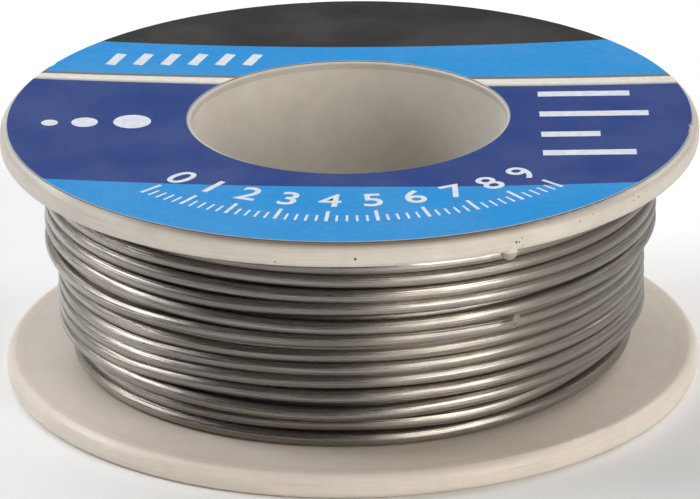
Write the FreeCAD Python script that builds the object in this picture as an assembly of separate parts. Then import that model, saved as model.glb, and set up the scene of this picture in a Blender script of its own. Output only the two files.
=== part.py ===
import FreeCAD, Part
import math
import os

# A small spool of solder wire, standing on its lower flange: a two-piece plastic reel with a
# plain bore, a paper ring on the top flange, and flux-cored wire wound in layers on the barrel.
# Millimetres, +Z up, origin on the spool's axis at its base. Angles go round from the front (-Y)
# towards the right (+X), in degrees.

# Reel
flange_diameter = 50.0
flange_thickness = 1.8
flange_edge_round = 0.7
reel_height = 19.0
bore_diameter = 22.6
bore_edge_round = 0.15
barrel_wall = 2.0

# Joint of the two halves: the upper half's spigot stands in the lower half's socket
seam_height = 9.0
lap_length = 5.0
spigot_wall = 1.0
lap_clearance = 0.05
lap_end_gap = 0.1

# Gate nub under the top flange's rim
nub_diameter = 1.2
nub_drop = 0.6
nub_proud = 0.05
nub_angle = 26.3

# Paper label
label_thickness = 0.1
label_rim_margin = 0.5
label_bore_margin = 0.1
label_shift_right = 0.1

# Wire and its layers. The visible turns are drawn thinner than the wire, on the wire's own
# pitch, so that each turn stays apart from the next.
wire_diameter = 1.0
drawn_wire = 0.58
layers_below = 8
layer_rise = 0.85
turn_pitch = 1.0
drawn_layer_rise = 1.0
turn_clearance = 0.05
barrel_clearance = 0.02

# Places along the winding
free_end_angle = 32.0
free_end_height = 10.3
top_turn_room = 0.3
loose_gap = 0.4
loose_turn = 1.3
climb_span = 0.5
sunk_depth = 0.9
sunk_turns = 1.8
loosening_span = 1.5
inner_end_angle = 180.0
inner_stop_angle = 25.0

# Flux core, to the scale of the drawn wire
flux_share = 0.4

rim_radius = flange_diameter / 2
bore_radius = bore_diameter / 2
barrel_radius = bore_radius + barrel_wall
lap_radius = bore_radius + spigot_wall
lap_top = seam_height + lap_length
top_flange_underside = reel_height - flange_thickness

drawn_radius = drawn_wire / 2
full_layers_radius = barrel_radius + wire_diameter + layers_below * layer_rise
outer_turns_radius = full_layers_radius + layer_rise - drawn_radius
second_turns_radius = outer_turns_radius - drawn_layer_rise
core_radius = second_turns_radius - drawn_radius - turn_clearance
sunk_core_radius = core_radius - sunk_depth

top_turn_height = top_flange_underside - wire_diameter / 2 - top_turn_room
low_turn_height = flange_thickness + wire_diameter / 2


def direction(angle):
    """Unit vector from the axis towards an angle counted from the front."""
    turned_by = math.radians(angle)
    return FreeCAD.Vector(math.sin(turned_by), -math.cos(turned_by), 0)


def rounded_outline(corners):
    """Closed wire in the XZ plane through (radius, height, rounding) corners."""
    count = len(corners)
    starts, ends, middles = [], [], []
    for i, (radius, height, rounding) in enumerate(corners):
        corner = FreeCAD.Vector(radius, 0, height)
        before = FreeCAD.Vector(corners[i - 1][0], 0, corners[i - 1][1]) - corner
        after = FreeCAD.Vector(corners[(i + 1) % count][0], 0, corners[(i + 1) % count][1]) - corner
        before.normalize()
        after.normalize()
        half_angle = before.getAngle(after) / 2
        inward = before + after
        inward.normalize()
        starts.append(corner + before * (rounding / math.tan(half_angle)))
        ends.append(corner + after * (rounding / math.tan(half_angle)))
        middles.append(corner + inward * (rounding / math.sin(half_angle) - rounding))
    edges = []
    for i in range(count):
        if corners[i][2] > 0:
            edges.append(Part.Arc(starts[i], middles[i], ends[i]).toShape())
        edges.append(Part.LineSegment(ends[i], starts[(i + 1) % count]).toShape())
    return Part.Wire(edges)


def turned(corners, first_angle=0.0, sweep=360.0):
    """Solid turned about the spool's axis, from first_angle on through sweep degrees."""
    face = Part.Face(rounded_outline(corners))
    origin, axis = FreeCAD.Vector(0, 0, 0), FreeCAD.Vector(0, 0, 1)
    face.rotate(origin, axis, first_angle - 90)
    return face.revolve(origin, axis, sweep)


# Reel halves

def lower_half():
    return turned([
        (bore_radius, 0, bore_edge_round),
        (rim_radius, 0, flange_edge_round),
        (rim_radius, flange_thickness, flange_edge_round),
        (barrel_radius, flange_thickness, 0),
        (barrel_radius, lap_top, 0),
        (lap_radius, lap_top, 0),
        (lap_radius, seam_height, 0),
        (bore_radius, seam_height, 0),
    ])


def gate_nub():
    radius = nub_diameter / 2
    place = direction(nub_angle) * (rim_radius + nub_proud - radius)
    tip = place + FreeCAD.Vector(0, 0, top_flange_underside - nub_drop + radius)
    root_height = top_flange_underside + flange_thickness / 2
    shank = Part.makeCylinder(radius, root_height - tip.z, tip)
    return shank.fuse(Part.makeSphere(radius, tip))


def upper_half():
    shoulder = lap_top + lap_end_gap
    spigot_radius = lap_radius - lap_clearance
    body = turned([
        (bore_radius, seam_height, 0),
        (spigot_radius, seam_height, 0),
        (spigot_radius, shoulder, 0),
        (barrel_radius, shoulder, 0),
        (barrel_radius, top_flange_underside, 0),
        (rim_radius, top_flange_underside, flange_edge_round),
        (rim_radius, reel_height, flange_edge_round),
        (bore_radius, reel_height, bore_edge_round),
    ])
    return body.fuse(gate_nub()).removeSplitter()


def top_label():
    outer = rim_radius - label_rim_margin
    inner = bore_radius + bore_edge_round + label_bore_margin
    disc_centre = FreeCAD.Vector(label_shift_right, 0, reel_height)
    hole_centre = FreeCAD.Vector(0, 0, reel_height)
    disc = Part.makeCylinder(outer, label_thickness, disc_centre)
    return disc.cut(Part.makeCylinder(inner, label_thickness, hole_centre))


# The winding, followed from the cut free end: up the outer layer, over at the top flange, and
# down the second layer to the lower flange. A place on it is a count of turns from the free end.

def ease(share):
    """Smooth step from 0 to 1."""
    share = min(max(share, 0.0), 1.0)
    return share * share * (3 - 2 * share)


turns_to_top = (top_turn_height - free_end_height - loose_gap) / turn_pitch
height_to_fall = top_turn_height - low_turn_height
end_share = (free_end_angle - inner_end_angle) / 360
winding_turns = math.floor(turns_to_top + height_to_fall / turn_pitch - end_share) + end_share
sunk_from = winding_turns - sunk_turns
height_to_spare = height_to_fall - turn_pitch * (winding_turns - turns_to_top)


def turn_height(turn):
    """Steady rise to the top flange, then a steady fall whose last turn lies down on the lower one."""
    if turn < turns_to_top:
        loose = loose_gap * ease((turn - loose_turn) / climb_span)
        return free_end_height + turn_pitch * turn + loose
    turns_left = winding_turns - turn
    loosened = height_to_spare * ease((sunk_from - turn) / loosening_span)
    return low_turn_height + turn_pitch * turns_left * min(turns_left, 1) ** 2 + loosened


def turn_radius(turn):
    climb = ease((turn - turns_to_top + climb_span / 2) / climb_span)
    sink = ease((turn - sunk_from + climb_span) / climb_span)
    return outer_turns_radius - drawn_layer_rise * climb - sunk_depth * sink


def turn_place(turn):
    place = direction(free_end_angle - 360 * turn) * turn_radius(turn)
    place.z = turn_height(turn)
    return place


def turn_heading(turn):
    """Unit tangent of the winding, from places a little before and after."""
    step = 0.02
    heading = turn_place(turn + step) - turn_place(turn - step)
    heading.normalize()
    return heading


def arc_middle(start, heading, end):
    """Middle point of the arc that leaves start along heading and reaches end."""
    chord = end - start
    normal = chord - heading * chord.dot(heading)
    normal.normalize()
    radius = chord.dot(chord) / (2 * chord.dot(normal))
    centre = start + normal * radius
    outward = (start + end) * 0.5 - centre
    outward.normalize()
    return centre + outward * radius


def biarc(start, start_heading, end, end_heading):
    """Two arcs that leave start and reach end along the given headings."""
    chord = end - start
    both = start_heading + end_heading
    along = chord.dot(both)
    spread = 2 * (1 - start_heading.dot(end_heading))
    reach = (math.sqrt(along * along + spread * chord.dot(chord)) - along) / spread
    joint = (start + start_heading * reach + end - end_heading * reach) * 0.5
    first_middle = arc_middle(start, start_heading, joint)
    last_middle = arc_middle(end, end_heading * -1, joint)
    return [Part.Arc(start, first_middle, joint).toShape(), Part.Arc(joint, last_middle, end).toShape()]


def winding_path():
    """Edges of the winding's centre line in order: a straight run, quarter-turn biarcs, a straight run."""
    count = math.ceil(winding_turns * 4)
    stations = [winding_turns * i / count for i in range(count + 1)]
    places = [turn_place(turn) for turn in stations]
    headings = [turn_heading(turn) for turn in stations]
    free_end, inner_end = places[0], places[-1]
    places[0] = free_end + headings[0] * drawn_wire
    places[-1] = inner_end - headings[-1] * drawn_wire
    edges = [Part.LineSegment(free_end, places[0]).toShape()]
    for i in range(count):
        edges += biarc(places[i], headings[i], places[i + 1], headings[i + 1])
    edges.append(Part.LineSegment(places[-1], inner_end).toShape())
    return edges


def sampled(path, points_each=7):
    points = []
    for edge in path:
        first, last = edge.ParameterRange
        points += [edge.valueAt(first + (last - first) * i / points_each) for i in range(points_each)]
    return points


def least_gap(path):
    """Least gap of the tube to itself, between points more than half a turn apart along it."""
    points = sampled(path)
    run = [0.0]
    for i in range(1, len(points)):
        run.append(run[-1] + points[i].distanceToPoint(points[i - 1]))
    half_turn = math.pi * second_turns_radius
    least = 2 * rim_radius
    for i, point in enumerate(points):
        for j in range(i):
            if run[i] - run[j] > half_turn:
                least = min(least, point.distanceToPoint(points[j]))
    return least - drawn_wire


def flux_core(path):
    """The flux thread where it shows, from the free end's face as deep as the straight run."""
    start = path[0].valueAt(path[0].FirstParameter)
    inward = path[0].valueAt(path[0].LastParameter) - start
    return Part.makeCylinder(drawn_radius * flux_share, drawn_wire, start, inward)


def outer_turns(path):
    """One unbroken tube along the winding, with the flux hole in its free end."""
    start = path[0].valueAt(path[0].FirstParameter)
    inward = path[0].valueAt(path[0].LastParameter) - start
    section = Part.Wire(Part.Circle(start, inward, drawn_radius).toShape())
    centre_line = Part.Wire(path)
    tube = centre_line.makePipeShell([section], True, False)
    expected = math.pi * drawn_radius ** 2 * centre_line.Length
    print("winding turns", round(winding_turns, 2), "length", round(centre_line.Length, 1))
    print("tube volume over section times length", round(tube.Volume / expected, 5))
    return tube.cut(flux_core(path))


def inner_layers():
    """Plain ring under the drawn turns, with the stop that the lowest turn comes out of."""
    inner = barrel_radius + barrel_clearance
    channel_top = turn_height(sunk_from - climb_span) + drawn_radius + turn_clearance
    ring = turned([
        (inner, flange_thickness, 0),
        (sunk_core_radius, flange_thickness, 0),
        (sunk_core_radius, channel_top, 0),
        (core_radius, channel_top, 0),
        (core_radius, top_flange_underside, 0),
        (inner, top_flange_underside, 0),
    ])
    stop_radius = second_turns_radius - sunk_depth + drawn_radius
    stop_top = low_turn_height + drawn_radius
    stop = turned([
        (inner, flange_thickness, 0),
        (stop_radius, flange_thickness, 0),
        (stop_radius, stop_top, 0),
        (inner, stop_top, 0),
    ], inner_end_angle - inner_stop_angle, inner_stop_angle)
    return ring.fuse(stop).removeSplitter()


def main():
    os.makedirs("parts", exist_ok=True)
    path = winding_path()
    radii = [edge.Curve.Radius for edge in path[1:-1]]
    print("least bend radius", round(min(radii), 2), "arcs", len(radii))
    print("least gap of the tube to itself", round(least_gap(path), 3))
    nodes = {
        "spool_lower_half": lower_half(),
        "spool_upper_half": upper_half(),
        "top_label": top_label(),
        "solder_inner_layers": inner_layers(),
        "solder_outer_turns": outer_turns(path),
        "flux_core": flux_core(path),
    }
    for name, shape in nodes.items():
        shape.exportStep("parts/" + name + ".step")
        print(name, shape.ShapeType, len(shape.Solids), shape.isValid(), round(shape.Volume, 3))


main()
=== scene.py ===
# %% [markdown]
# # A reel of solder wire
# This lesson dresses a measured model of a small reel of solder. The model comes from a CAD program,
# fixes every size and stays as it is. Blender adds what the eye reads: the turns of wire at their
# full thickness, the printed paper label, the moulded plastic and the light of a small studio.
# All lengths below are in millimetres and are turned into Blender's metres where a mesh is made.

# %% Load the measured model
import math

import bmesh
import bpy
import numpy as np
from mathutils import Matrix, Vector


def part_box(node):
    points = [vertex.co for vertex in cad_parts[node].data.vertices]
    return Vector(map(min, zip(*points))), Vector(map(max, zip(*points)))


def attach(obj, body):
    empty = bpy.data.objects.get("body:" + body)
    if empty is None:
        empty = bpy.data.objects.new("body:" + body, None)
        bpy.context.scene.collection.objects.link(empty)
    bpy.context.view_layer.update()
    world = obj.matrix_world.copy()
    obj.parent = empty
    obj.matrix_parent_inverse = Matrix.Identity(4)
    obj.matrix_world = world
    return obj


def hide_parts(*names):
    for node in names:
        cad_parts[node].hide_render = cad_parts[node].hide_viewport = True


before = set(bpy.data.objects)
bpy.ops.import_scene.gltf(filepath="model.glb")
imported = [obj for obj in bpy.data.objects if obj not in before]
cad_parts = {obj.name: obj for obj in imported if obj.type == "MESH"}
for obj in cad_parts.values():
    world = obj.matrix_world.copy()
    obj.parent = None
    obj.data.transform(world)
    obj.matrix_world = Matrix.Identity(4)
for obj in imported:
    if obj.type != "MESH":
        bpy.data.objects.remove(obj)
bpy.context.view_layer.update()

MM = 0.001
reel_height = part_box("spool_upper_half")[1].z / MM
flange_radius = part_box("spool_upper_half")[1].x / MM
print(f"reel {reel_height:.1f} mm high, {2 * flange_radius:.1f} mm across")

# %% [markdown]
# ## The camera
# The picture was taken from about half a metre away, looking down a little. A camera could be aimed by
# a Track To constraint, but then its slight lean could not be set. Three directions built by hand,
# right, up and back, give the same view and hold the lean too.

# %% Aim the camera
camera_distance = 486
camera_elevation = math.radians(21.63)
camera_lean = math.radians(-0.78)
camera_target = Vector((-0.07, 0, 8.8))
picture_width = 700
pixels_per_mm = 13.88
sensor_width = 36

back = Vector((0, -math.cos(camera_elevation), math.sin(camera_elevation)))
level_right = Vector((1, 0, 0))
level_up = back.cross(level_right)
right = math.cos(camera_lean) * level_right + math.sin(camera_lean) * level_up
up = back.cross(right)

camera = bpy.data.objects.new("camera", bpy.data.cameras.new("camera"))
camera.data.sensor_width = sensor_width
camera.data.lens = pixels_per_mm * camera_distance * sensor_width / picture_width
camera.matrix_world = Matrix((right, up, back)).transposed().to_4x4()
camera.location = (camera_target + camera_distance * back) * MM
bpy.context.scene.collection.objects.link(camera)
bpy.context.scene.camera = camera
print(f"lens {camera.data.lens:.0f} mm, camera {camera.location.z / MM:.0f} mm above the floor")

# %% [markdown]
# ## Small helpers for shader nodes
# A material is a tree of nodes, and writing each node out takes many lines. A few short helpers keep
# the recipes readable. The first adds a node with its settings, and the next three do a sum, multiply
# masks together, and turn one run of values into another.

# %% Helpers for nodes and sums
def add_node(tree, kind, values=None, **settings):
    """Adds a node, with plain settings by name and socket values by name or number."""
    made = tree.nodes.new(kind)
    for name, value in settings.items():
        setattr(made, name, value)
    for socket, value in (values or {}).items():
        if isinstance(value, bpy.types.NodeSocket):
            tree.links.new(value, made.inputs[socket])
        else:
            made.inputs[socket].default_value = value
    return made


def calculate(tree, operation, *terms):
    """A Math node on sockets or plain numbers."""
    return add_node(tree, "ShaderNodeMath", dict(enumerate(terms)), operation=operation).outputs[0]


def product(tree, first, *others):
    """All the factors multiplied: where masks are multiplied, only their overlap is left."""
    for factor in others:
        first = calculate(tree, "MULTIPLY", first, factor)
    return first


def remap(tree, value, start, end, at_start=0.0, at_end=1.0, smooth=False):
    """Turns the run from start to end into a run from at_start to at_end, level beyond both ends."""
    values = {"Value": value, "From Min": start, "From Max": end, "To Min": at_start, "To Max": at_end}
    kind = "SMOOTHSTEP" if smooth else "LINEAR"
    return add_node(tree, "ShaderNodeMapRange", values, interpolation_type=kind).outputs["Result"]


print("helpers ready:", ", ".join(helper.__name__ for helper in (add_node, calculate, product, remap)))

# %% [markdown]
# The next ones deal with colours and places. Screen colours are easier to judge by eye than the linear
# ones that Blender works in, so one helper turns the first into the second. The numbers in it are those
# of the standard for screens. A Mix node keeps its colour sockets behind those for other kinds of value.

# %% Helpers for colours and places
MIX_SHARE, MIX_FIRST, MIX_SECOND, MIX_RESULT = 0, 6, 7, 2


def blend_colours(tree, share, first, second):
    """The first colour where share is 0, the second where it is 1."""
    values = {MIX_SHARE: share, MIX_FIRST: first, MIX_SECOND: second}
    return add_node(tree, "ShaderNodeMix", values, data_type="RGBA").outputs[MIX_RESULT]


def screen_colour(red, green, blue):
    """A colour as a screen shows it, from 0 to 255, as the linear colour that a shader takes."""
    shares = (red / 255, green / 255, blue / 255)
    return tuple(s / 12.92 if s < 0.04045 else ((s + 0.055) / 1.055) ** 2.4 for s in shares) + (1,)


def place_in_mm(tree):
    """Where a point of the surface is, in millimetres from the reel's foot."""
    coordinates = tree.nodes.new("ShaderNodeTexCoord")
    values = {0: coordinates.outputs["Object"], "Scale": 1 / MM}
    return add_node(tree, "ShaderNodeVectorMath", values, operation="SCALE").outputs[0]


def parts_of(tree, place):
    """The three numbers that make up a place."""
    return add_node(tree, "ShaderNodeSeparateXYZ", {0: place}).outputs


print("mid grey on screen is", round(screen_colour(128, 128, 128)[0], 3), "in linear light")

# %% [markdown]
# ## Effects that several materials share
# Plastic, paper and solder all vary a little from place to place, all have a fine grain, and all
# carry a few specks. Each effect is a node group: it is made once, and each material places it with
# its own sizes. The groups work in millimetres, so a grain of 0.2 is the same on every surface.

# %% Start a node group
NUMBER, VECTOR = "NodeSocketFloat", "NodeSocketVector"


def new_group(name, inputs, outputs):
    """An empty shader group with these sockets. Returns the tree, its inputs and its output node's."""
    made = bpy.data.node_groups.new(name, "ShaderNodeTree")
    for socket, kind in inputs.items():
        made.interface.new_socket(socket, in_out="INPUT", socket_type=kind)
    for socket, kind in outputs.items():
        made.interface.new_socket(socket, in_out="OUTPUT", socket_type=kind)
    entry = made.nodes.new("NodeGroupInput")
    result = made.nodes.new("NodeGroupOutput")
    return made, entry.outputs, result.inputs


print("group sockets are of the kinds", NUMBER, "and", VECTOR)

# %% [markdown]
# Soft patches are cloudy noise: the slow change of tone that keeps a surface from looking computed.
# Noise stays near its middle value most of the time, so its middle part is stretched to the full range.

# %% Group for soft patches
noise_low, noise_high = 0.3, 0.7
sockets = {"Place": VECTOR, "Patch Size": NUMBER}
soft_patches, given, result = new_group("soft_patches", sockets, {"Patches": NUMBER})
scale = calculate(soft_patches, "DIVIDE", 1, given["Patch Size"])
noise_values = {"Vector": given["Place"], "Scale": scale, "Detail": 3}
noise = add_node(soft_patches, "ShaderNodeTexNoise", noise_values).outputs["Fac"]
stretched = remap(soft_patches, noise, noise_low, noise_high, smooth=True)
soft_patches.links.new(stretched, result["Patches"])
print(soft_patches.name, "has", len(soft_patches.nodes), "nodes")

# %% [markdown]
# Fine grain is a relief too small to model. A Bump node tilts the normals by the slope of a noise,
# which changes only how the light plays and costs no geometry.

# %% Group for fine grain
sockets = {"Place": VECTOR, "Grain Size": NUMBER, "Depth": NUMBER}
fine_grain, given, result = new_group("fine_grain", sockets, {"Normal": VECTOR})
scale = calculate(fine_grain, "DIVIDE", 1, given["Grain Size"])
noise_values = {"Vector": given["Place"], "Scale": scale, "Detail": 2}
noise = add_node(fine_grain, "ShaderNodeTexNoise", noise_values).outputs["Fac"]
metres_deep = calculate(fine_grain, "MULTIPLY", given["Depth"], MM)
relief = add_node(fine_grain, "ShaderNodeBump", {"Height": noise, "Distance": metres_deep})
fine_grain.links.new(relief.outputs["Normal"], result["Normal"])
print(fine_grain.name, "has", len(fine_grain.nodes), "nodes")

# %% [markdown]
# Specks come from a Voronoi texture. It scatters one point in each cell, and a disc round the point
# is a speck. Each cell also has a random colour, and only the cells under a limit get their speck. The
# same luck sets how large it is, so that no two are alike.

# %% Group for scattered specks
sockets = {"Place": VECTOR, "Spacing": NUMBER, "Speck Size": NUMBER, "Share": NUMBER}
scattered_specks, given, result = new_group("scattered_specks", sockets, {"Mask": NUMBER})
scale = calculate(scattered_specks, "DIVIDE", 1, given["Spacing"])
cells = add_node(scattered_specks, "ShaderNodeTexVoronoi", {"Vector": given["Place"], "Scale": scale}).outputs
luck = add_node(scattered_specks, "ShaderNodeSeparateColor", {0: cells["Color"]}).outputs[0]
distance = calculate(scattered_specks, "MULTIPLY", cells["Distance"], given["Spacing"])
largest = calculate(scattered_specks, "DIVIDE", luck, given["Share"])
own_size = calculate(scattered_specks, "MULTIPLY", given["Speck Size"], largest)
near = calculate(scattered_specks, "LESS_THAN", distance, own_size)
chosen = calculate(scattered_specks, "LESS_THAN", luck, given["Share"])
scattered_specks.links.new(product(scattered_specks, near, chosen), result["Mask"])
print(scattered_specks.name, "has", len(scattered_specks.nodes), "nodes")

# %% [markdown]
# A new material starts with its one Principled shader. Values that are the same all over are set on
# the shader's own sockets, and only what changes over the surface comes from nodes. Three effects end
# every recipe here, so they have helpers too: a colour, a roughness that varies, and a grain.

# %% Helpers for materials
def new_material(name, **plain_values):
    """A material with plain values on its Principled shader. Returns it, its tree and the shader."""
    made = bpy.data.materials.new(name)
    made.use_nodes = True
    shader = made.node_tree.nodes["Principled BSDF"]
    for socket, value in plain_values.items():
        shader.inputs[socket.replace("_", " ")].default_value = value
    return made, made.node_tree, shader.inputs


def place_group(tree, group, **values):
    """Places a shared group in a material, with its values by socket name."""
    by_socket = {socket.replace("_", " "): value for socket, value in values.items()}
    return add_node(tree, "ShaderNodeGroup", by_socket, node_tree=group).outputs[0]


def vary_roughness(tree, surface, mask, smoothest, roughest):
    """Lets a mask move the surface between two roughnesses."""
    tree.links.new(remap(tree, mask, 0, 1, smoothest, roughest), surface["Roughness"])


def add_grain(tree, surface, place, size, depth):
    """Gives the surface a fine relief, with its size and depth in millimetres."""
    grain = place_group(tree, fine_grain, Place=place, Grain_Size=size, Depth=depth)
    tree.links.new(grain, surface["Normal"])


print("groups ready:", ", ".join(sorted(group.name for group in bpy.data.node_groups)))

# %% [markdown]
# ## Reel plastic
# The reel is moulded in cheap cream plastic, satin and faintly uneven. The CAD halves already have the
# right rounds and the small stump of the moulding gate, so they stay, and the finish goes into their
# material slots. A single colour would look like a toy's, so clouds of darker cream and small smudges
# vary it. A little subsurface light keeps it from looking chalky.

# %% Mix the cream of the plastic
cream = screen_colour(228, 222, 211)
shaded_cream = screen_colour(219, 212, 201)
dust_grey = screen_colour(146, 136, 122)
smudge_strength = 0.09
softness = {"Subsurface_Weight": 0.12, "Subsurface_Scale": 0.002}

reel_plastic, tree, surface = new_material("reel_plastic", IOR=1.5, **softness)
place = place_in_mm(tree)
reel_x, reel_y, reel_z = parts_of(tree, place)
flat_place = add_node(tree, "ShaderNodeCombineXYZ", {"X": reel_x, "Y": reel_y}).outputs["Vector"]
from_axis = add_node(tree, "ShaderNodeVectorMath", {0: flat_place}, operation="LENGTH").outputs["Value"]
cream_clouds = place_group(tree, soft_patches, Place=place, Patch_Size=5.0)
smudges = place_group(tree, soft_patches, Place=place, Patch_Size=1.1)
tone = blend_colours(tree, cream_clouds, cream, shaded_cream)
tone = blend_colours(tree, product(tree, smudges, smudge_strength), tone, dust_grey)
print("the cream takes", len(tree.nodes), "nodes")

# %% [markdown]
# A thin ring along the paper's edge on top is painted darker, most of it in front: painted shade below the
# paper's edge and on the rim's shoulder. A ring is a range of distances from the reel's axis, so one mask on
# that distance paints it. The bore is treated in the same way: its wall is painted greyer, as painted shade
# that grows further down.

# %% Paint shade along the paper's edge and in the bore
label_edge_shade = screen_colour(116, 103, 88)
label_shade_start, label_shade_end = flange_radius - 0.34, flange_radius - 0.06
front_y, middle_y = -23, -13
label_shade_elsewhere = 0.25
top_band = 0.5
near_paper = remap(tree, from_axis, label_shade_start, label_shade_end, at_start=1.0, at_end=0.0)
shadier_in_front = remap(tree, reel_y, front_y, middle_y, at_start=1.0, at_end=label_shade_elsewhere)
on_top = calculate(tree, "GREATER_THAN", reel_z, reel_height - top_band)
tone = blend_colours(tree, product(tree, near_paper, on_top, shadier_in_front), tone, label_edge_shade)

# Painted shade in the bore: its wall is greyer the further down it lies.
painted_bore_shade = screen_colour(150, 147, 144)
bore_wall, bore_shade_edge = 11.5, 12.0
bore_shade_low, bore_shade_high = reel_height - 7, reel_height - 1
in_bore = remap(tree, from_axis, bore_wall, bore_shade_edge, at_start=1.0, at_end=0.0)
bore_shade_share = remap(tree, reel_z, bore_shade_low, bore_shade_high, at_start=0.42, at_end=0.1)
tone = blend_colours(tree, product(tree, in_bore, bore_shade_share), tone, painted_bore_shade)
# The ranges printed here are those of the painted shade along the paper's edge and in the bore.
print(f"dust between {label_shade_start:.2f} and {label_shade_end:.2f} mm from the axis, film within {bore_shade_edge} mm")

# %% [markdown]
# The lower flange is warmer in tone than the upper one. It has a faint pink line just inside its rim,
# where two fronts of the molten plastic met. The clouds shift the line in and out, because such a line
# is never a true circle.

# %% Warm the lower flange and draw its flow line
blush = screen_colour(230, 215, 201)
blush_strength = 0.45
barrel_radius = 13.0
below = calculate(tree, "LESS_THAN", reel_z, reel_height / 2)
on_flange = calculate(tree, "GREATER_THAN", from_axis, barrel_radius)
tone = blend_colours(tree, product(tree, below, on_flange, blush_strength), tone, blush)

flow_pink = screen_colour(196, 176, 160)
flow_strength = 0.14
flow_radius = flange_radius - 1.5
flow_wander = 0.35
flow_core, flow_edge = 0.05, 0.3
line_radius = calculate(tree, "MULTIPLY_ADD", cream_clouds, flow_wander, flow_radius)
off_line = calculate(tree, "ABSOLUTE", calculate(tree, "SUBTRACT", from_axis, line_radius))
flow_line = remap(tree, off_line, flow_core, flow_edge, at_start=flow_strength, at_end=0.0)
tone = blend_colours(tree, product(tree, flow_line, below), tone, flow_pink)
print(f"flow line about {flow_radius:.1f} mm from the axis")

# %% [markdown]
# The upper flange's inner face is painted grey, which is painted shade under the flange. The face could have
# a material of its own, but masks on height and distance find it within the one that the whole reel has.

# %% Paint shade on the upper flange's inner face
underside_shade_grey = screen_colour(112, 107, 100)
underside_shade_share = 0.6
flange_thickness = 1.8
slack = 0.05
inner_face = reel_height - flange_thickness + slack
under_top = calculate(tree, "LESS_THAN", reel_z, inner_face)
above = calculate(tree, "SUBTRACT", 1, below)
tone = blend_colours(tree, product(tree, under_top, above, on_flange, underside_shade_share), tone, underside_shade_grey)
print(f"grey from half height up to {inner_face:.2f} mm")

# %% [markdown]
# Both rims are scuffed along their run, as on a reel that has rolled about in a drawer, and the upper one
# is greyer towards its left and right sides. The scuffs are patches in coordinates that run round the rim and
# up it. One unit of them is a long way round and a short way up, which draws each patch out into a thin mark.

# %% Scuff the rims
rim_band = 0.25
on_rim = calculate(tree, "GREATER_THAN", from_axis, flange_radius - rim_band)
upper_rim = product(tree, on_rim, calculate(tree, "GREATER_THAN", reel_z, reel_height / 2))
side_grey_start, side_grey_full = 12, 22
side_greying = remap(tree, calculate(tree, "ABSOLUTE", reel_x), side_grey_start, side_grey_full, at_start=0.14, at_end=0.34)
tone = blend_colours(tree, product(tree, upper_rim, side_greying), tone, dust_grey)

scuffs_round, scuffs_up = 2.0, 2.5
scuff_sharpness = 4.0
scuff_strength = 0.16
round_rim = product(tree, calculate(tree, "ARCTAN2", reel_x, reel_y), scuffs_round)
up_rim = product(tree, reel_z, scuffs_up)
scuff_place = add_node(tree, "ShaderNodeCombineXYZ", {"X": round_rim, "Y": up_rim}).outputs["Vector"]
scuffs = place_group(tree, soft_patches, Place=scuff_place, Patch_Size=0.45)
scuffed = product(tree, calculate(tree, "POWER", scuffs, scuff_sharpness), on_rim, scuff_strength)
tone = blend_colours(tree, scuffed, tone, dust_grey)
print(f"rims scuffed beyond {flange_radius - rim_band:.2f} mm")

# %% [markdown]
# Burnt plastic leaves brown specks. A few are scattered over the whole reel, more lie on the upper rim,
# and a cluster sits beside the stump of the gate, where the melt came in. On the right the rim's
# shoulder is chipped, which shows as a broken line of small dots. First come the masks of two places:
# a ball round the gate, and a band along the rim where the scuffs are strong.

# %% Find the places of the gate's specks and of the chips
gate_angle = math.radians(27.5)
gate_reach = 0.5
gate_place = (flange_radius * math.sin(gate_angle), -flange_radius * math.cos(gate_angle), reel_height - 1.0)
from_gate = add_node(tree, "ShaderNodeVectorMath", {0: place, 1: gate_place}, operation="DISTANCE")
by_gate = calculate(tree, "LESS_THAN", from_gate.outputs["Value"], gate_reach)

chip_height = reel_height - 0.55
chip_band = 0.2
chips_start_x = 11.0
chipped_patches = 0.3
chip_strength = 0.7
off_chip_line = calculate(tree, "ABSOLUTE", calculate(tree, "SUBTRACT", reel_z, chip_height))
on_shoulder = calculate(tree, "LESS_THAN", off_chip_line, chip_band)
on_right = calculate(tree, "GREATER_THAN", reel_x, chips_start_x)
in_patches = calculate(tree, "GREATER_THAN", scuffs, chipped_patches)
chipped = product(tree, on_shoulder, on_rim, on_right, in_patches, chip_strength)
print(f"chips at {chip_height:.2f} mm, give or take {chip_band} mm")

# %% [markdown]
# Each kind of speck is the same group with its own spacing, cut down to its place by its mask. Where
# two kinds overlap, the stronger one counts.

# %% Scatter the specks and the chips
specks = place_group(tree, scattered_specks, Place=place, Spacing=2.3, Speck_Size=0.11, Share=0.25)
speck_kinds = (
    (by_gate, {"Spacing": 0.2, "Speck_Size": 0.085, "Share": 0.75}),
    (upper_rim, {"Spacing": 0.9, "Speck_Size": 0.1, "Share": 0.32}),
    (chipped, {"Spacing": 0.3, "Speck_Size": 0.085, "Share": 0.8}),
)
for where, sizes_of_specks in speck_kinds:
    more = place_group(tree, scattered_specks, Place=place, **sizes_of_specks)
    specks = calculate(tree, "MAXIMUM", specks, product(tree, more, where))
print(len(speck_kinds) + 1, "kinds of specks")

# %% [markdown]
# What is left is the sheen. The plastic is satin, a little duller in the clouds, with the faint
# orange-peel grain of a cheap mould. The finished material takes the place of whatever the CAD halves
# come with.

# %% Finish the plastic and put it on both halves
burnt_brown = screen_colour(96, 62, 38)
tree.links.new(blend_colours(tree, specks, tone, burnt_brown), surface["Base Color"])
vary_roughness(tree, surface, cream_clouds, smoothest=0.38, roughest=0.5)
add_grain(tree, surface, place, size=0.35, depth=0.012)

for half in ("spool_lower_half", "spool_upper_half"):
    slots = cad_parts[half].data.materials
    slots.clear()
    slots.append(reel_plastic)
    print(half, "now wears", slots[0].name)

# %% [markdown]
# ## Turning numbers into meshes
# Every new piece below is made of points and faces worked out in code, so one helper makes the
# object, shades it round or flat, gives it its material and lets it ride with the reel.

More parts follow.
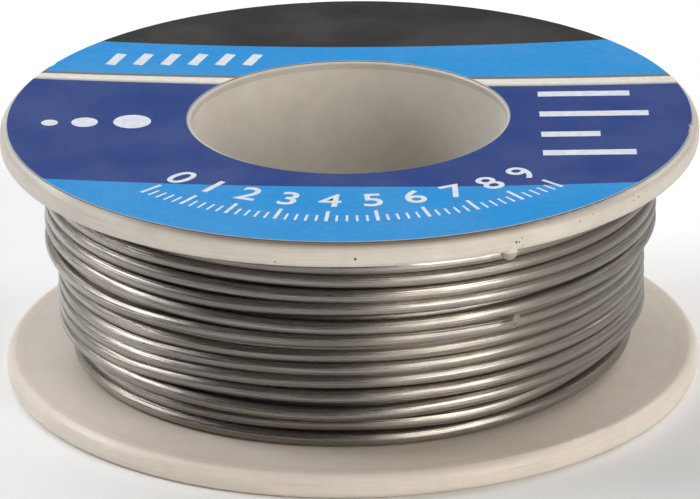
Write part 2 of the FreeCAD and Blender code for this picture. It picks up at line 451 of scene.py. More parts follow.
# %% Helper for new pieces
def new_piece(name, points, faces, material, rounded=True):
    """A mesh piece from points in millimetres, riding with the reel."""
    mesh = bpy.data.meshes.new(name)
    mesh.from_pydata([Vector(p) * MM for p in points], [], faces)
    if rounded:
        mesh.shade_smooth()
    else:
        mesh.shade_flat()
    mesh.materials.append(material)
    piece = bpy.data.objects.new(name, mesh)
    bpy.context.scene.collection.objects.link(piece)
    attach(piece, "root")
    print(f"{name}: {len(mesh.vertices)} points, {len(mesh.polygons)} faces")
    return piece


print(f"pieces are drawn in millimetres and scaled by {MM} into metres")

# %% [markdown]
# ## The label's print
# A thin paper ring with plain bands of colour covers the top flange. The bands could be painted in an
# image, but their edges are slight curves that a formula gives exactly, and a formula stays sharp at
# any zoom. The group tells how far a point lies behind such a curve, and the bands stack up from there.

# %% Group for a band's edge
ink_spread = 0.05
sockets = {"Place": VECTOR, "Middle": NUMBER, "Slope": NUMBER, "Curve": NUMBER}
band_edge, given, result = new_group("band_edge", sockets, {"Beyond": NUMBER, "Distance": NUMBER})
label_x, label_y, _ = parts_of(band_edge, given["Place"])
bent = calculate(band_edge, "MULTIPLY_ADD", given["Curve"], label_x, given["Slope"])
edge = calculate(band_edge, "MULTIPLY_ADD", bent, label_x, given["Middle"])
distance = calculate(band_edge, "SUBTRACT", label_y, edge)
beyond = remap(band_edge, distance, -ink_spread, ink_spread, smooth=True)
band_edge.links.new(beyond, result["Beyond"])
band_edge.links.new(distance, result["Distance"])
print(band_edge.name, "has", len(band_edge.nodes), "nodes")

# %% [markdown]
# Four edges divide the ring into five bands. From the front they are sky blue, navy, a narrow silver
# stripe, sky blue again and black. Each edge is a gentle parabola: where it crosses the middle, how it
# slopes there and how much it curves.

# %% Place the edges of the bands
def place_edge(tree, place, middle, slope, curve):
    """The edge of a band, as the two values of its group."""
    values = {"Place": place, "Middle": middle, "Slope": slope, "Curve": curve}
    return add_node(tree, "ShaderNodeGroup", values, node_tree=band_edge).outputs


label_print, tree, surface = new_material("label_print", IOR=1.25)
place = place_in_mm(tree)
navy_edge = place_edge(tree, place, middle=-14.1, slope=-0.05, curve=0.0029)
stripe_front = place_edge(tree, place, middle=6.1, slope=-0.062, curve=0.0021)
stripe_back = place_edge(tree, place, middle=8.0, slope=-0.056, curve=0.002)
black_edge = place_edge(tree, place, middle=14.4, slope=-0.033, curve=0.0043)
print("label print has", len(tree.nodes), "nodes so far")

# %% [markdown]
# The silver stripe isn't flat in tone. It is darker along its front edge, which is painted shade, and has a
# thin dull line along its back edge, so it gets both before the bands are stacked.

# %% Colour the bands
sky_blue = screen_colour(30, 144, 214)
navy = screen_colour(30, 60, 128)
soft_black = screen_colour(38, 36, 36)
silver = screen_colour(228, 224, 214)
silver_painted_shade = screen_colour(168, 166, 164)
silver_line = screen_colour(118, 108, 92)
shade_width = 0.6
line_start, line_end = -0.55, -0.35

risen = remap(tree, stripe_front["Distance"], 0.0, shade_width, smooth=True)
silver_tone = blend_colours(tree, risen, silver_painted_shade, silver)
fallen = remap(tree, stripe_back["Distance"], line_start, line_end, smooth=True)
silver_tone = blend_colours(tree, fallen, silver_tone, silver_line)
colour = blend_colours(tree, navy_edge["Beyond"], sky_blue, navy)
colour = blend_colours(tree, stripe_front["Beyond"], colour, silver_tone)
colour = blend_colours(tree, stripe_back["Beyond"], colour, sky_blue)
colour = blend_colours(tree, black_edge["Beyond"], colour, soft_black)
print("label print has", len(tree.nodes), "nodes so far")

# %% [markdown]
# Printed paper is never even: the ink is mottled, the sheet is a little cloudy, and dust has stuck to
# it. The cut edge shows the pale surface of the paper first, and below it a grey-brown band of painted
# shade. The same material covers both, because a mask on the depth below the top face tells them apart.

# %% Age the print and colour the paper's edge
mottle_strength, cloud_strength, speck_strength = 0.12, 0.03, 0.55
mottle = place_group(tree, soft_patches, Place=place, Patch_Size=0.5)
sheet_clouds = place_group(tree, soft_patches, Place=place, Patch_Size=6.0)
dust_specks = place_group(tree, scattered_specks, Place=place, Spacing=2.2, Speck_Size=0.1, Share=0.15)
colour = blend_colours(tree, product(tree, mottle, mottle_strength), colour, soft_black)
colour = blend_colours(tree, product(tree, sheet_clouds, cloud_strength), colour, silver)
colour = blend_colours(tree, product(tree, dust_specks, speck_strength), colour, soft_black)

paper_edge = screen_colour(170, 179, 187)
paper_side_shade = screen_colour(104, 98, 92)
edge_depth, side_shade_depth = 0.02, 0.06
paper_z = parts_of(tree, place)["Z"]
from_top = calculate(tree, "SUBTRACT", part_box("top_label")[1].z / MM, paper_z)
colour = blend_colours(tree, calculate(tree, "GREATER_THAN", from_top, edge_depth), colour, paper_edge)
colour = blend_colours(tree, calculate(tree, "GREATER_THAN", from_top, side_shade_depth), colour, paper_side_shade)
tree.links.new(colour, surface["Base Color"])
gloss_patches = place_group(tree, soft_patches, Place=place, Patch_Size=1.2)
vary_roughness(tree, surface, gloss_patches, smoothest=0.48, roughest=0.56)
add_grain(tree, surface, place, size=0.15, depth=0.006)
print("label print has", len(tree.nodes), "nodes")

# %% [markdown]
# ## The label's paper
# The paper is a flat ring with its hole cut slightly off centre. Its rim reaches over the flange's
# rounded shoulder and droops a little. The ring is an outline of a few points carried once round,
# which leaves the edge free to droop as a disc would not, and to be nicked here and there, where the
# paper has chipped. The top face stays a little under the measured one and leaves room for the ink.

# %% Draw the outline of the label
label_low, label_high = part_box("top_label")
label_centre = (label_low + label_high) / 2 / MM
label_radius = (label_high.x - label_low.x) / 2 / MM
label_hole_radius = 11.55
ink_room = 0.015
paper_bottom = label_low.z / MM
paper_top = label_high.z / MM - ink_room
droop = 0.06
worn_edge = 0.04
underside_reach = label_radius - 4 * worn_edge
hole_middle = (-0.06, 0)
shift_x, shift_y = -0.1, 0.04
outer_middle = (label_centre.x + shift_x, label_centre.y + shift_y)
label_outline = [
    (label_hole_radius, paper_bottom, hole_middle),
    (underside_reach, paper_bottom, outer_middle),
    (label_radius, paper_bottom - droop, outer_middle),
    (label_radius, paper_top - worn_edge, outer_middle),
    (label_radius - worn_edge, paper_top, outer_middle),
    (label_hole_radius + worn_edge, paper_top, hole_middle),
    (label_hole_radius, paper_top - worn_edge, hole_middle),
]
print(f"paper from {label_hole_radius} to {label_radius:.2f} mm, {paper_top - paper_bottom:.3f} mm thick")

# %% [markdown]
# A nick is given by its place in degrees, its depth and its width in degrees. Its shape is a bell
# curve, which has no corners and fades out by itself, so the nicks can simply be added up.

# %% Carry the outline round
label_steps = 600
edge_nicks = (
    (-7, 0.22, 0.55), (-9, 0.1, 0.8), (-38, 0.08, 0.6),
    (152, 0.12, 0.8), (97, 0.08, 0.5), (-121, 0.06, 0.6),
)


def nick_depth_at(degrees):
    """How far the nicks bite into the paper in this direction."""
    bite = 0
    for nick_place, depth, width in edge_nicks:
        off_nick = (degrees - nick_place + 180) % 360 - 180
        bite += depth * math.exp(-(off_nick / width) ** 2)
    return bite


points, faces = [], []
for step in range(label_steps):
    angle = 2 * math.pi * step / label_steps
    bite = nick_depth_at(math.degrees(angle))
    for radius, height, middle in label_outline:
        if middle == outer_middle:
            radius -= bite
        points.append((middle[0] + radius * math.cos(angle), middle[1] + radius * math.sin(angle), height))
outline_length = len(label_outline)
for step in range(label_steps):
    here, there = step * outline_length, (step + 1) % label_steps * outline_length
    for i in range(outline_length):
        j = (i + 1) % outline_length
        faces.append((here + i, there + i, there + j, here + j))
paper = new_piece("label_paper", points, faces, label_print, rounded=False)
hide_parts("top_label")

# %% [markdown]
# ## The label's marks
# The bands carry plain white marks: a dial of ticks and numbers along the front, dots of three
# sizes on one side, bars on the other, and slanted strokes at the back. They are thin slabs of ink
# rather than part of the print's nodes, because a slab's edge is crisp and each mark can be moved by a
# single number. The ink is laid on a little thicker in some places, so its white varies.

# %% Mix the white ink
ink_thick = screen_colour(226, 229, 234)
ink_thin = screen_colour(205, 212, 222)
ink_white, tree, surface = new_material("label_ink", IOR=1.45)
place = place_in_mm(tree)
ink_patches = place_group(tree, soft_patches, Place=place, Patch_Size=0.6)
tree.links.new(blend_colours(tree, ink_patches, ink_thick, ink_thin), surface["Base Color"])
vary_roughness(tree, surface, ink_patches, smoothest=0.4, roughest=0.55)
print(ink_white.name, "has", len(tree.nodes), "nodes")

# %% [markdown]
# A mark is a closed outline in the plane of the paper. One helper gives it a top, a bottom and walls,
# so that it is a real solid, and two more draw the outlines of a bar and of a dot.

# %% Helpers for the marks
ink_thickness = 0.012
dot_sides = 40


def printed_marks(name, outlines):
    """Thin slabs of ink on the paper, one for each closed outline of (x, y)."""
    ink_top = paper_top + ink_thickness
    points, faces = [], []
    for outline in outlines:
        start, count = len(points), len(outline)
        points += [(x, y, paper_top) for x, y in outline] + [(x, y, ink_top) for x, y in outline]
        faces.append([start + count + i for i in range(count)])
        faces.append([start + i for i in reversed(range(count))])
        for i in range(count):
            j = (i + 1) % count
            faces.append((start + i, start + j, start + count + j, start + count + i))
    return new_piece(name, points, faces, ink_white, rounded=False)


def slanted_bar(middle, length, width, angle):
    """The outline of a bar, from its middle, its size and its angle."""
    along = Vector((math.cos(angle), math.sin(angle)))
    aside = Vector((-along.y, along.x))
    corners = ((-1, -1), (1, -1), (1, 1), (-1, 1))
    return [Vector(middle) + a * length / 2 * along + b * width / 2 * aside for a, b in corners]


def dot(middle, radius):
    """The outline of a round dot."""
    turns = [2 * math.pi * i / dot_sides for i in range(dot_sides)]
    return [(middle[0] + radius * math.cos(t), middle[1] + radius * math.sin(t)) for t in turns]


print(f"ink lies {ink_thickness} mm thick on paper at {paper_top:.3f} mm")

# %% [markdown]
# The dial runs along the front of the ring like the scale of a gauge. Its ticks are one loop over
# angles, and every fifth tick is longer and wider, as on a ruler.

# %% Print the ticks of the dial
dial_radius = 20.7
dial_half_angle = 45
tick_step = 2
long_tick_every = 5
short_tick, long_tick = (1.1, 0.17), (1.9, 0.26)


def direction_at(degrees):
    """The direction on the label, counted in degrees from the front towards the right."""
    angle = math.radians(degrees - 90)
    return Vector((math.cos(angle), math.sin(angle)))


ticks = []
for number, degrees in enumerate(range(-dial_half_angle, dial_half_angle + 1, tick_step)):
    length, width = short_tick if number % long_tick_every else long_tick
    middle = direction_at(degrees) * (dial_radius - length / 2) + label_centre.xy
    ticks.append(slanted_bar(middle, length, width, math.radians(degrees - 90)))
printed_marks("dial_ticks", ticks)

# %% [markdown]
# Numbers come from Blender's own font. A text object gives clean outlines, which are turned into a
# mesh, thickened by the curve's own extrude and set round the dial. The letter shapes come in loose
# parts, so their points are welded and their faces turned to look outwards.

# %% Helper for printed numbers
lettering_settings = {"align_x": "CENTER", "align_y": "CENTER", "offset": 0.012, "resolution_u": 6}
weld_distance = 0.0001


def printed_numbers(name, marks, size):
    """Numbers on the paper, all of one size. Each mark is a text, its middle and its angle."""
    figures = bmesh.new()
    for text, middle, angle in marks:
        curve = bpy.data.curves.new(name, "FONT")
        curve.body = text
        curve.extrude = ink_thickness / 2 / size
        for setting, value in lettering_settings.items():
            setattr(curve, setting, value)
        lettering = bpy.data.objects.new(name, curve)
        mesh = bpy.data.meshes.new_from_object(lettering)
        lift = Vector((middle.x, middle.y, paper_top + ink_thickness / 2)) * MM
        mesh.transform(Matrix.Translation(lift) @ Matrix.Rotation(angle, 4, "Z") @ Matrix.Scale(size * MM, 4))
        figures.from_mesh(mesh)
        bpy.data.objects.remove(lettering)
        bpy.data.curves.remove(curve)
        bpy.data.meshes.remove(mesh)
    bmesh.ops.remove_doubles(figures, verts=figures.verts, dist=weld_distance * MM)
    bmesh.ops.recalc_face_normals(figures, faces=figures.faces)
    figures.verts.index_update()
    points = [v.co / MM for v in figures.verts]
    faces = [[v.index for v in f.verts] for f in figures.faces]
    figures.free()
    return new_piece(name, points, faces, ink_white, rounded=False)


print("letters are drawn with", lettering_settings)

# %% [markdown]
# A number stands at each long tick, a little nearer to the bore, and is turned so that its foot points
# to the tick. The loop over the angles gives ten of them, from 0 to 9.

# %% Print the numbers of the dial
number_radius = 16.9
number_size = 3.3
number_angles = range(-dial_half_angle, dial_half_angle + 1, tick_step * long_tick_every)
dial_marks = []
for number, degrees in enumerate(number_angles):
    middle = direction_at(degrees) * number_radius + label_centre.xy
    dial_marks.append((str(number), middle, math.radians(degrees)))
printed_numbers("dial_numbers", dial_marks, number_size)

# %% [markdown]
# The sides and the back carry the simplest marks: dots that grow towards the bore, bars of uneven
# length that start in one line, and strokes that lean to the right and follow the slope of their band.

# %% Print the dots, the bars and the strokes
dot_row = -0.6
# Each dot is its x and its radius.
left_dots = ((-21.4, 0.6), (-18.9, 0.95), (-15.5, 1.35))
printed_marks("side_dots", [dot((x, dot_row), radius) for x, radius in left_dots])

bar_start = 13.6
bar_width = 1.0
# Each bar is its y and its length.
right_bars = ((3.9, 6.6), (-0.2, 7.8), (-4.3, 4.2), (-8.0, 6.6))
bars = [slanted_bar((bar_start + length / 2, y), length, bar_width, 0) for y, length in right_bars]
printed_marks("side_bars", bars)

stroke_length, stroke_width = 2.4, 0.75
stroke_slant = math.radians(70)
stroke_row, stroke_slope = 11.6, -0.05
stroke_places = [(x, stroke_row + stroke_slope * x) for x in range(-17, -6, 2)]
strokes = [slanted_bar(middle, stroke_length, stroke_width, stroke_slant) for middle in stroke_places]
printed_marks("back_strokes", strokes)

# %% [markdown]
# ## The route of the wire
# The wire is one long piece. From its cut end it winds up over the outside, turns in under itself at
# the top flange and winds down again. Its turns aren't quite even, so its height and its distance from
# the axis are given at the places where they change, and the route between them is smoothed. The
# places were read off along a few lines across the front of the coil.

# %% Set the places that the wire goes through
wire_radius = 0.52
cut_angle = 32.1
steps_per_turn = 240
# Each place is the number of turns from the cut end, the height and the distance from the axis.
wire_places = (
    (0.0, 10.5, 21.45), (0.03, 10.57, 21.45), (0.1, 10.6, 21.45), (0.17, 10.6, 21.45), (0.23, 10.38, 21.45),
    (0.85, 11.65, 21.45), (1.03, 11.6, 21.45), (1.1, 11.5, 21.45), (1.17, 11.65, 21.45), (1.23, 11.88, 21.45),
    (2.03, 12.94, 21.45), (2.1, 12.98, 21.45), (2.17, 12.78, 21.45), (2.23, 12.91, 21.45),
    (3.03, 13.87, 21.45), (3.1, 13.82, 21.45), (3.17, 13.92, 21.45), (3.23, 13.96, 21.45),
    (4.03, 14.9, 21.45), (4.1, 15.02, 21.45), (4.17, 15.18, 21.45), (4.23, 15.0, 21.45),
    (5.03, 15.92, 21.45), (5.1, 16.0, 21.45), (5.17, 16.08, 21.44), (5.23, 16.2, 21.43),
    (5.6, 16.42, 21.4), (6.0, 16.45, 20.6), (6.6, 16.0, 20.6), (9.05, 13.1, 20.6), (10.05, 11.95, 20.6),
    (11.05, 10.95, 20.6), (11.17, 10.9, 20.6), (11.25, 11.15, 20.9), (11.4, 10.7, 20.6), (12.05, 10.0, 20.6),
    (13.03, 9.2, 20.6), (13.1, 9.1, 20.6), (13.17, 8.92, 20.6), (13.23, 8.74, 20.6), (13.9, 8.35, 20.6),
    (14.03, 8.17, 20.6), (14.1, 8.11, 20.6), (14.17, 8.03, 20.6), (14.23, 7.71, 20.6), (14.9, 7.4, 20.6),
    (15.03, 7.24, 20.6), (15.1, 7.12, 20.6), (15.17, 7.0, 20.6), (15.23, 6.72, 20.6), (15.9, 6.4, 20.6),
    (16.03, 6.1, 20.6), (16.1, 5.98, 20.6), (16.17, 6.04, 20.6), (16.23, 5.72, 20.6), (16.9, 5.45, 20.6),
    (17.03, 5.03, 20.6), (17.1, 4.64, 20.6), (17.17, 4.77, 20.6), (17.23, 4.82, 20.6), (17.6, 4.9, 20.5),
    (17.85, 4.85, 20.15), (17.93, 4.75, 20.05), (17.97, 4.2, 20.0), (18.01, 3.72, 20.0),
    (18.1, 3.74, 19.9), (18.17, 3.4, 19.5), (18.23, 3.3, 19.35), (18.4, 3.25, 19.4), (18.85, 3.05, 19.65),
    (18.93, 2.9, 19.65), (18.98, 2.72, 19.65), (19.05, 2.42, 19.65), (19.35, 2.37, 19.62),
    (19.65, 2.34, 19.1), (19.85, 2.34, 18.6), (20.0, 2.34, 18.6),
)
print(len(wire_places), "places on", wire_places[-1][0], "turns")

# %% [markdown]
# Smoothing is a moving average over a tenth of a turn, which rounds each bend as stiff wire would. Then
# a slow random wander of a few hundredths of a millimetre is added, the same in every run, because
# the random numbers start from a fixed seed.

# %% Draw the route through its places
smoothing_steps = steps_per_turn // 10
wander_step = 0.15
wander_height, wander_radius = 0.03, 0.02


def route_through(places, start_angle, seed):
    """Points along the wire, through places of (turn, height, distance from the axis)."""
    turns, heights, radii = np.array(places).T
    count = int((turns[-1] - turns[0]) * steps_per_turn) + 1
    at = np.linspace(turns[0], turns[-1], count)
    window = np.hanning(smoothing_steps)
    window /= window.sum()
    margin = len(window) // 2

    def smoothed(values, **padding):
        padded = np.pad(np.interp(at, *values), margin, **padding)
        return np.convolve(padded, window, mode="valid")[:count]

    luck = np.random.default_rng(seed)
    knots = np.arange(turns[0], turns[-1] + 1, wander_step)
    wanders = [(knots, luck.normal(0, spread, len(knots))) for spread in (wander_height, wander_radius)]
    onward = {"mode": "reflect", "reflect_type": "odd"}
    height = smoothed((turns, heights), **onward) + smoothed(wanders[0], mode="edge")
    radius = smoothed((turns, radii), **onward) + smoothed(wanders[1], mode="edge")
    angle = np.radians(start_angle - 360 * at)
    return np.stack((radius * np.sin(angle), -radius * np.cos(angle), height), axis=1)


outer_route = route_through(wire_places, cut_angle, seed=3)
print(f"{len(outer_route)} steps on the outer wire, from {outer_route[:, 2].min():.2f} mm up")

# %% [markdown]
# ## Sweeping the wire
# A curve with a round bevel would make the tube, but its cut end would be flat and closed. Rings of
# points set square to the route give the same tube and leave the end free: its rings lean, so that the
# cut is slanted as by side cutters, and the innermost ones turn in to form the hole for the flux.
# The same rings store how far along and how far round the wire each point lies, for the drawn marks.

# %% Sweep rings along a route
def swept_rings(route, rings, sides):
    """Points of the rings, and for each its place on the wire. A ring is its step, radius and lean."""
    forward = np.gradient(route, axis=0)
    forward /= np.linalg.norm(forward, axis=1, keepdims=True)
    outward = route * (1, 1, 0)
    outward -= forward * np.sum(outward * forward, axis=1, keepdims=True)
    outward /= np.linalg.norm(outward, axis=1, keepdims=True)
    upward = np.cross(forward, outward)
    upward *= np.sign(upward[:, 2:])
    lengths = np.linalg.norm(np.diff(route, axis=0), axis=1)
    travelled = np.concatenate(([0], np.cumsum(lengths)))
    points, wire_marks = [], []
    for step, radius, lean in rings:
        for side in range(sides):
            angle = 2 * math.pi * side / sides
            out, lift = radius * math.cos(angle), radius * math.sin(angle)
            points.append(route[step] + out * (outward[step] + lean * forward[step]) + lift * upward[step])
            wire_marks.append((travelled[step], out, lift))
    return points, wire_marks


outer_steps = np.linalg.norm(np.diff(outer_route, axis=0), axis=1)
print(f"the outer wire is {outer_steps.sum() * MM:.2f} m long")

# %% [markdown]
# Faces join each ring to the next, and a many-sided face closes each end, so the wire is a closed body.
# What the rings stored about each point goes into the mesh as an attribute, which the solder's material
# can read like any texture coordinate.

# %% Close the rings into a wire
def tube_faces(ring_count, sides):
    """Four-sided faces between rings, with a lid on the first and the last."""
    faces = [tuple(range(sides))[::-1]]
    for ring in range(ring_count - 1):
        here, there = ring * sides, (ring + 1) * sides
        for i in range(sides):
            j = (i + 1) % sides
            faces.append((here + i, here + j, there + j, there + i))
    faces.append(tuple(range((ring_count - 1) * sides, ring_count * sides)))
    return faces


def swept_wire(name, route, rings, sides, material):
    """A piece of wire along a route, with each point's place on the wire kept for the material."""
    points, wire_marks = swept_rings(route, rings, sides)
    piece = new_piece(name, points, tube_faces(len(rings), sides), material)
    layer = piece.data.attributes.new("wire_place", "FLOAT_VECTOR", "POINT")
    layer.data.foreach_set("vector", np.array(wire_marks, dtype=np.float32).ravel())
    return piece


print("a tube of 2 rings with 4 sides has", len(tube_faces(2, 4)), "faces")

# %% [markdown]
# ## Solder
# Solder is soft, so the wire keeps fine marks of the die that it was drawn through. They are long
# streaks of noise: the coordinates along the wire are squeezed, those round it are not. Metal takes its
# tone from what it mirrors, so its own colour is nearly even, with slow smears and a few small nicks.

# %% Mix the solder
solder_bright = screen_colour(184, 180, 172)
solder_dull = screen_colour(166, 162, 155)
streak_squeeze = (0.008, 1, 1)
nick_sizes = {"Spacing": 1.3, "Speck_Size": 0.07, "Share": 0.16}

solder, tree, surface = new_material("solder", Metallic=0.9)
place = place_in_mm(tree)
on_wire = add_node(tree, "ShaderNodeAttribute", attribute_name="wire_place").outputs["Vector"]
along, _, lift = parts_of(tree, on_wire)
squeezed = add_node(tree, "ShaderNodeMapping", {"Vector": on_wire, "Scale": streak_squeeze})
streaks = place_group(tree, soft_patches, Place=squeezed.outputs[0], Patch_Size=0.1)
smears = place_group(tree, soft_patches, Place=on_wire, Patch_Size=3.5)
nicks = place_group(tree, scattered_specks, Place=on_wire, **nick_sizes)
tone = blend_colours(tree, smears, solder_bright, solder_dull)
print("solder has", len(tree.nodes), "nodes so far")

# %% [markdown]
# Two whole stretches of the coil are darkened. The one in front is painted shade: its darker metal stands in
# for the dark surroundings that it mirrors. The one to the right of it is darker and duller. The place of
# each is an angle round the reel, so it crosses all the turns at once. The smears make its ends ragged.

# %% Paint shade on one stretch and dull another
darkened_solder = screen_colour(139, 134, 129)
dulled_tone = 0.55
raggedness = 0.06
coil_x, coil_y, _ = parts_of(tree, place)
bearing = calculate(tree, "ARCTAN2", coil_x, calculate(tree, "MULTIPLY", coil_y, -1))
ragged_bearing = calculate(tree, "MULTIPLY_ADD", smears, raggedness, bearing)


def stretch(tree, bearing, starts, full_from, full_to, ends):
    """1 between two bearings in degrees, fading to 0 outside them."""
    begun = remap(tree, bearing, math.radians(starts), math.radians(full_from), smooth=True)
    ended = remap(tree, bearing, math.radians(full_to), math.radians(ends), smooth=True)
    return calculate(tree, "SUBTRACT", begun, ended)


painted_front_shade = stretch(tree, ragged_bearing, starts=-52, full_from=-31, full_to=-2, ends=12)
duller_right_stretch = stretch(tree, ragged_bearing, starts=29, full_from=40, full_to=125, ends=150)
tone = blend_colours(tree, product(tree, duller_right_stretch, dulled_tone), tone, darkened_solder)
tone = blend_colours(tree, painted_front_shade, tone, darkened_solder)
print("solder has", len(tree.nodes), "nodes so far")

# %% [markdown]
# Between two turns the wire is painted browner and a little darker, which is painted shade in the groove. The
# streaks and the nicks are lined with dark oxide. Only the fresh face of the cut end is light and dull.

# %% Paint shade in the grooves and lighten the cut
groove_painted_shade = screen_colour(170, 160, 150)
oxide = screen_colour(96, 84, 74)
fresh_cut = screen_colour(174, 163, 149)
groove_start, groove_full, groove_strength = 0.22, 0.45, 0.7
streak_strength = 0.42
cut_reach = 0.01
from_crest = calculate(tree, "ABSOLUTE", lift)
in_groove = remap(tree, from_crest, groove_start, groove_full, at_end=groove_strength, smooth=True)
groove_shade_tone = blend_colours(tree, painted_front_shade, groove_painted_shade, darkened_solder)
tone = blend_colours(tree, in_groove, tone, groove_shade_tone)
tone = blend_colours(tree, product(tree, streaks, streak_strength), tone, oxide)
tone = blend_colours(tree, nicks, tone, oxide)
at_cut = calculate(tree, "LESS_THAN", along, cut_reach)
tree.links.new(blend_colours(tree, at_cut, tone, fresh_cut), surface["Base Color"])
print("solder has", len(tree.nodes), "nodes so far")

# %% [markdown]
# The sheen follows the same masks: streaks and smears scatter the light, and so does the duller stretch to
# the right. A shallow relief along the streaks breaks the highlights into fine lines.

# %% Set the sheen and the drawn relief
streak_share, smear_share = 0.6, 0.4
brightest, dullest = 0.19, 0.36
right_stretch_dulling, cut_dulling = 0.15, 0.3
streak_depth = 0.015
wear = calculate(tree, "ADD", product(tree, streaks, streak_share), product(tree, smears, smear_share))
roughness = remap(tree, wear, 0, 1, brightest, dullest)
roughness = calculate(tree, "MULTIPLY_ADD", duller_right_stretch, right_stretch_dulling, roughness)
tree.links.new(calculate(tree, "MULTIPLY_ADD", at_cut, cut_dulling, roughness), surface["Roughness"])
drawn_relief = add_node(tree, "ShaderNodeBump", {"Height": streaks, "Distance": streak_depth * MM})
tree.links.new(drawn_relief.outputs["Normal"], surface["Normal"])
print("solder has", len(tree.nodes), "nodes")

# %% [markdown]
# ## The outer turns
# The outer turns show the cut end, so their first rings are special. One lies at the bottom of the hole
# for the flux, one at the hole's mouth, and three more spread out over the slanted face of the cut
# and round its edge. All the other rings are the plain body of the wire, one at each step of the route.

# %% Make the outer turns
wire_sides = 20
flux_radius = 0.2
cut_lean = 1.35
hole_steps, cut_steps = 2, 3
cut_rings = [(hole_steps, flux_radius, 0), (0, flux_radius, cut_lean)]
cut_rings += [(0, wire_radius * share, cut_lean) for share in (0.9, 0.97, 1.0)]
body_rings = [(step, wire_radius, 0) for step in range(cut_steps, len(outer_route))]
outer_rings = cut_rings + body_rings
outer_turns = swept_wire("wire_outer_turns", outer_route, outer_rings, wire_sides, solder)
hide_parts("solder_outer_turns")

# %% [markdown]
# ## The flux in the wire's core
# Electronics solder holds a thread of rosin flux, which shows as an amber dot where the wire is cut.
# Only its first few millimetres are made, because the wire hides the rest. Rosin is a clear resin, so a
# little subsurface light makes it glow faintly.

# %% Make the flux
amber = screen_colour(190, 170, 136)
dark_amber = screen_colour(160, 136, 100)
resin = {"Roughness": 0.35, "IOR": 1.52, "Subsurface_Weight": 0.2, "Subsurface_Scale": 0.0003}
rosin, tree, surface = new_material("rosin", **resin)
amber_clouds = place_group(tree, soft_patches, Place=place_in_mm(tree), Patch_Size=0.15)
tree.links.new(blend_colours(tree, amber_clouds, amber, dark_amber), surface["Base Color"])
flux_fit = 0.98
face_rings = [(0, flux_radius * share, cut_lean) for share in (0.3, 0.75, flux_fit)]
thread_rings = [(step, flux_radius * flux_fit, 0) for step in (1, 2, 3)]
flux = swept_wire("flux_thread", outer_route, face_rings + thread_rings, wire_sides, rosin)
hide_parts("flux_core")

# %% [markdown]
# ## The layers underneath
# Between the visible turns a third layer shows in the cracks, wound the other way. Deeper layers can't
# be seen from anywhere, so this one stands for them all. It is a little thinner than the wire above it
# and needs fewer sides, because only slivers of it show.

# %% Make the inner turns
inner_places = (
    (0.0, 3.3, 18.7),
    (1.2, 3.8, 18.85),
    (2.2, 4.6, 19.2),
    (2.8, 5.2, 19.75),
    (14.0, 16.4, 19.75),
)
inner_start_angle = 180
inner_wire_radius = 0.45
inner_sides = 12
inner_route = route_through(inner_places, inner_start_angle, seed=5)
inner_rings = [(step, inner_wire_radius, 0) for step in range(len(inner_route))]
inner_turns = swept_wire("wire_inner_turns", inner_route, inner_rings, inner_sides, solder)
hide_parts("solder_inner_layers")

# %% [markdown]
# ## The floor
# The reel stands on plain white paper. Its colour alone makes the background white at the lamps' plain
# level, so nothing needs to glow, and the reel's own shadow on it stays. The lower half of each turn
# mirrors that shadow, which together with the painted shade on the solder's front stretch is why the front of
# the coil looks dark.

# %% Make the floor
floor_light, floor_shade = (0.96, 0.96, 0.96, 1), (0.94, 0.94, 0.94, 1)
floor_white, tree, surface = new_material("floor_white", Roughness=0.9)
floor_clouds = place_group(tree, soft_patches, Place=place_in_mm(tree), Patch_Size=60.0)
tree.links.new(blend_colours(tree, floor_clouds, floor_light, floor_shade), surface["Base Color"])

half_floor = 3000 * MM
floor_mesh = bpy.data.meshes.new("floor")
floor_corners = [(half_floor * x, half_floor * y, 0) for x, y in ((-1, -1), (1, -1), (1, 1), (-1, 1))]
floor_mesh.from_pydata(floor_corners, [], [(0, 1, 2, 3)])
floor_mesh.materials.append(floor_white)
floor = bpy.data.objects.new("floor", floor_mesh)
bpy.context.scene.collection.objects.link(floor)
print(f"floor {2 * half_floor:.0f} m square")

# %% [markdown]
# ## The lamps
# Metal is lit by what it mirrors, so the wire decides where the softboxes go. A turn shows a lamp at
# twice the angle from the camera that the turn itself has. The bright run about 20 degrees right of the
# middle therefore asks for a large softbox near 40 degrees, and the one about 50 degrees to the left for
# another at 100. A softbox is an area lamp, and its power is worked out from the brightness of its
# face, because that is what the wire mirrors: a larger one of the same brightness needs more watts.

# %% Helper for softboxes
lamp_distance = 700
warm_white, cool_white = (1.0, 0.96, 0.9), (0.97, 0.98, 1.0)


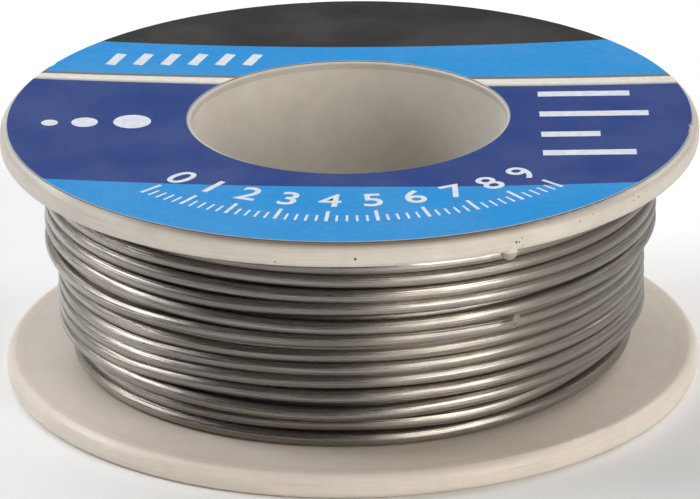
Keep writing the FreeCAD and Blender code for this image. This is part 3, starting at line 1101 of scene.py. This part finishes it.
def softbox(name, azimuth, elevation, width, height, brightness, colour):
    """A lamp that faces the reel. Brightness is what the wire would mirror, 1 being white. Returns watts."""
    light = bpy.data.lights.new(name, "AREA")
    light.shape = "RECTANGLE"
    light.size = width * MM
    light.size_y = height * MM
    light.color = colour
    light.energy = brightness * math.pi * width * height * MM * MM
    lamp = bpy.data.objects.new(name, light)
    side, rise = math.radians(azimuth), math.radians(elevation)
    direction = Vector((math.sin(side) * math.cos(rise), -math.cos(side) * math.cos(rise), math.sin(rise)))
    lamp.location = direction * lamp_distance * MM + Vector((0, 0, reel_height * MM / 2))
    lamp.rotation_euler = direction.to_track_quat("Z", "Y").to_euler()
    lamp.visible_camera = False
    bpy.context.scene.collection.objects.link(lamp)
    return light.energy


print(f"softboxes hang {lamp_distance * MM:.1f} m from the reel")

# %% [markdown]
# Two more softboxes behind the reel light its top and the floor evenly. All four face the middle of the
# reel, so an azimuth, counted from the camera to the right, and an elevation say where each one hangs.

# %% Hang the lamps
# Each lamp is its name, azimuth, elevation, width, height, brightness and colour.
lamps = (
    ("right_softbox", 38, 21, 460, 540, 4.2, warm_white),
    ("left_softbox", -100, 35, 400, 310, 7.2, cool_white),
    ("back_left_softbox", -150, 46, 400, 400, 3.3, cool_white),
    ("back_right_softbox", 128, 46, 400, 400, 3.3, cool_white),
)
for lamp_settings in lamps:
    print(lamp_settings[0], f"gives {softbox(*lamp_settings):.1f} W")

# %% [markdown]
# The room is dark where the camera stands and lighter towards the sides and the back. The wire mirrors
# it between the softboxes, so it sets the tone of the dark stretches. A colour ramp over the compass
# direction paints this into the world.

# %% Paint the room
# Each stop is a bearing in degrees from the camera, to the right, and the brightness there.
room_stops = (
    (-180, 0.22), (-130, 0.28), (-90, 0.15), (-60, 0.07), (20, 0.07),
    (60, 0.1), (100, 0.15), (140, 0.2), (180, 0.22),
)
world = bpy.data.worlds.new("studio_room")
world.use_nodes = True
bpy.context.scene.world = world
tree = world.node_tree
direction = tree.nodes.new("ShaderNodeTexCoord").outputs["Generated"]
room_x, room_y, _ = parts_of(tree, direction)
bearing = calculate(tree, "ARCTAN2", room_x, calculate(tree, "MULTIPLY", room_y, -1))
share_of_turn = calculate(tree, "MULTIPLY_ADD", bearing, 1 / (2 * math.pi), 1 / 2)
walls = add_node(tree, "ShaderNodeValToRGB", {0: share_of_turn})
stops = walls.color_ramp.elements
while len(stops) < len(room_stops):
    stops.new(1 / 2)
for stop, (degrees, brightness) in zip(stops, room_stops):
    stop.position = degrees / 360 + 1 / 2
    stop.color = (brightness, brightness, brightness, 1)
tree.links.new(walls.outputs["Color"], tree.nodes["Background"].inputs["Color"])
bpy.context.scene.view_settings.view_transform = "Standard"
print("the room's brightness has", len(stops), "stops")
